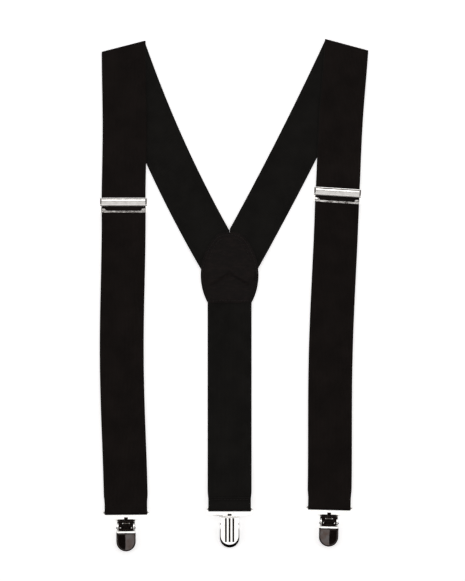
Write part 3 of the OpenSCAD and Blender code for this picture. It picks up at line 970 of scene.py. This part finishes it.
def clip_lever(place, axes):
    """The lever: a stamped flap, a rolled lip, a neck and the cam barrel with its trunnions."""
    shares = [i / 12 for i in range(1, 12)]
    over = [(share, 0, 0) for share in shares] + rounded_edge(SHOULDER_R, 6)
    rim = [(1, 0, 9), (1, SHEET_T, 9)]
    under = [(share, SHEET_T * share, SHEET_T) for share in reversed(shares)]
    # The flap's top is smoked chrome. Its turned-down rim and underside, the cam barrel, the trunnions and
    # the neck take the near-black steel as painted shade, and the neck's dimples go back to chrome as
    # painted glints.
    metal, smoked, dark = range(3)
    lever = Skins(axes.put)
    lever.plate(flap_outline(), Vector((0, -23)), over + rim + under, flap_surface,
                lambda band: smoked if band < len(shares) + 3 else dark)
    flat_part = [(i / 8, 0, 0) for i in range(1, 8)]
    lower = [(share, 0, SLAB_T) for share, _, _ in reversed(flat_part)]
    slab = flat_part + rounded_edge(SLAB_EDGE_R) + [(1, 0, SLAB_T)] + lower
    lip = [Vector(corner) for corner in rectangle(-8.2, -15.5, 8.2, -13.9, 0.4)]
    lever.plate(lip, Vector((0, -14.7)), slab, lambda x, y, drop: LIP_Z - drop, lambda band: metal)
    lever.barrel(CAM[0], CAM[1] - 0.3, 1.1, 11.6, 0.2, dark)
    lever.barrel(*CAM, 0.7, 16.8, 0.3, dark)
    neck = [Vector(corner) for corner in rectangle(-5.8, -14.2, 5.8, -10.2, 0.4)]
    lever.plate(neck, Vector((0, -12.2)), slab, neck_surface, lambda band: dark)
    piece = lever.piece(f"{place}_clip_lever_finish", [CHROME, SMOKED, SHADE_STEEL])
    # Painted glints: the dimples' tops go back to chrome on the dark neck.
    repaint(piece, metal, lambda spot: is_dimple(axes.local(spot)))
    finished(piece, f"{place}_clip_lever")


def is_dimple(spot):
    """Whether a point of the lever is on top of one of the neck's dimples, whose faces stay chrome as
    painted glints.
    """
    return math.hypot(abs(spot.x) - DIMPLE_X, spot.y - DIMPLE_Y) < DIMPLE_R and spot.z > 5.7


def rectangle(left, bottom, right, top, step):
    """Points round a rectangle, anticlockwise."""
    across = round((right - left) / step)
    up = round((top - bottom) / step)
    xs = [left + (right - left) * i / across for i in range(across)]
    ys = [bottom + (top - bottom) * i / up for i in range(up)]
    points = [(x, bottom) for x in xs] + [(right, y) for y in ys]
    return points + [(left + right - x, top) for x in xs] + [(left, bottom + top - y) for y in ys]


def is_hollow(spot):
    """Whether a point of the clip body is in a groove of the tongue or in the well under the cam, where
    shade is painted.
    """
    groove = abs(spot.x) < 4.2 and -27 < spot.y < -5 and 0.02 < spot.z < 0.6
    well = abs(spot.x) < 6.5 and -15 < spot.y < -4.2 and spot.z > 1.1
    return groove or well


def slot_shade_sheet(place, axes):
    """A near-black sheet half way down the little slot in the yoke, put there as painted shade in the slot.
    """
    edge = [Vector(corner) for corner in rectangle(-1.72, -3.76, 1.72, -1.94, 0.4)]
    rings = [(i / 5, 0, 0) for i in range(1, 6)] + [(i / 5, 0, 0.2) for i in range(5, 0, -1)]
    web = Skins(axes.put)
    web.plate(edge, Vector((0, -2.85)), rings, lambda x, y, drop: 2.25 - drop)
    piece = web.piece(f"{place}_clip_slot_painted_shade", [SHADE_STEEL])
    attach(piece, f"{place}_clip")


def clip(place):
    axes = ClipAxes(place)
    # The body's rounded outline takes the near-black steel as a painted dark outline, and its grooves and
    # the well under the cam are painted dark as shade.
    body = soften(f"{place}_clip_body", [CHROME, SHADE_STEEL], 0.38 * MM, outline_only=True)
    repaint(body, 1, lambda spot: is_hollow(axes.local(spot)))
    slot_shade_sheet(place, axes)
    clip_lever(place, axes)
    # The whole jaw is near-black steel, painted shade in the mechanism.
    soften(f"{place}_clip_jaw", [SHADE_STEEL], 0.1 * MM)
    soften(f"{place}_clip_pin", [CHROME], 0.08 * MM)
    soften(f"{place}_clip_spring", [SPRING_STEEL], 0.02 * MM)
    soften(f"{place}_clip_pad", [GRIP], 0.06 * MM)


# ---- Studio ----

def add_camera():
    """Straight above the object, at the height of a person standing over a table."""
    height = 2.6
    seen = 0.502
    camera = bpy.data.objects.new("camera", bpy.data.cameras.new("camera"))
    camera.location = (-1.1 * MM, 4.75 * MM, height)
    camera.data.sensor_width = 36
    camera.data.lens = 36 * height / seen
    camera.data.clip_end = 20
    bpy.context.scene.collection.objects.link(camera)
    bpy.context.scene.camera = camera


def add_floor():
    half = 6
    corners = [(-half, -half, 0), (half, -half, 0), (half, half, 0), (-half, half, 0)]
    floor = add_piece("floor", corners, [(0, 1, 2, 3)], [floor_material()])
    floor.location.z = -0.2 * MM


def add_softbox(name, place, size, radiance, towards=(0, 0, 0)):
    """A flat lamp whose face has the same brightness whatever its size."""
    light = bpy.data.lights.new(name, "AREA")
    light.shape = "RECTANGLE"
    light.size, light.size_y = size
    light.energy = radiance * math.pi * size[0] * size[1]
    lamp = bpy.data.objects.new(name, light)
    lamp.location = place
    lamp.rotation_euler = (Vector(towards) - Vector(place)).to_track_quat("-Z", "Y").to_euler()
    bpy.context.scene.collection.objects.link(lamp)


def add_world():
    """A studio that is pale along the horizon and dim above, where the softboxes hang."""
    world = bpy.data.worlds.new("studio")
    world.use_nodes = True
    bpy.context.scene.world = world
    graph = Graph(world.node_tree)
    direction = graph.node("ShaderNodeTexCoord").outputs["Generated"]
    rise = graph.node("ShaderNodeSeparateXYZ", {0: direction}).outputs["Z"]
    colour = graph.blend(graph.spread(rise, 0.08, 0.2), rgb(0.9, 0.9, 0.9), rgb(0.05, 0.036, 0.03))
    background = world.node_tree.nodes["Background"]
    graph.feed(background.inputs["Color"], colour)
    background.inputs["Strength"].default_value = 1.0


def add_lights():
    """An overhead softbox over the clips, a dimmer one over the adjusters, and side lights."""
    add_softbox("clip_softbox", (0, -0.2, 1.1), (0.6, 0.52), 1.35, (0, -0.2, 0))
    add_softbox("adjuster_softbox", (0, 0.26, 1.1), (0.6, 0.3), 0.72, (0, 0.26, 0))
    add_softbox("top_strip", (0, 0.75, 1.1), (0.9, 0.5), 1.8, (0, 0.75, 0))
    add_softbox("low_strip", (0, 2.4, 0.75), (1.6, 0.5), 2.2)
    for side in (-1, 1):
        add_softbox("side_light", (1.7 * side, 0, 1.5), (1.2, 1.6), 1.6)


def build():
    add_camera()
    add_world()
    add_lights()
    bpy.context.scene.view_settings.view_transform = "Standard"
    add_floor()
    patch = Patch()
    for side in SIDES:
        back_webbing(side, patch.x)
        fold_webbing(side)
        upper_webbing(side)
        lower_webbing(side)
        sewn_end_stitching(side)
        adjuster(side)
    centre_webbing()
    hem_stitching()
    leather_patch("outer_leather", "outer_patch", patch, lambda x, y: 0.0)
    outline, middle = leather_patch("inner_leather", "inner_patch", patch, patch.support)
    patch_stitching(patch, outline, middle)
    for place in SIDES + ("back",):
        clip(place)


build()
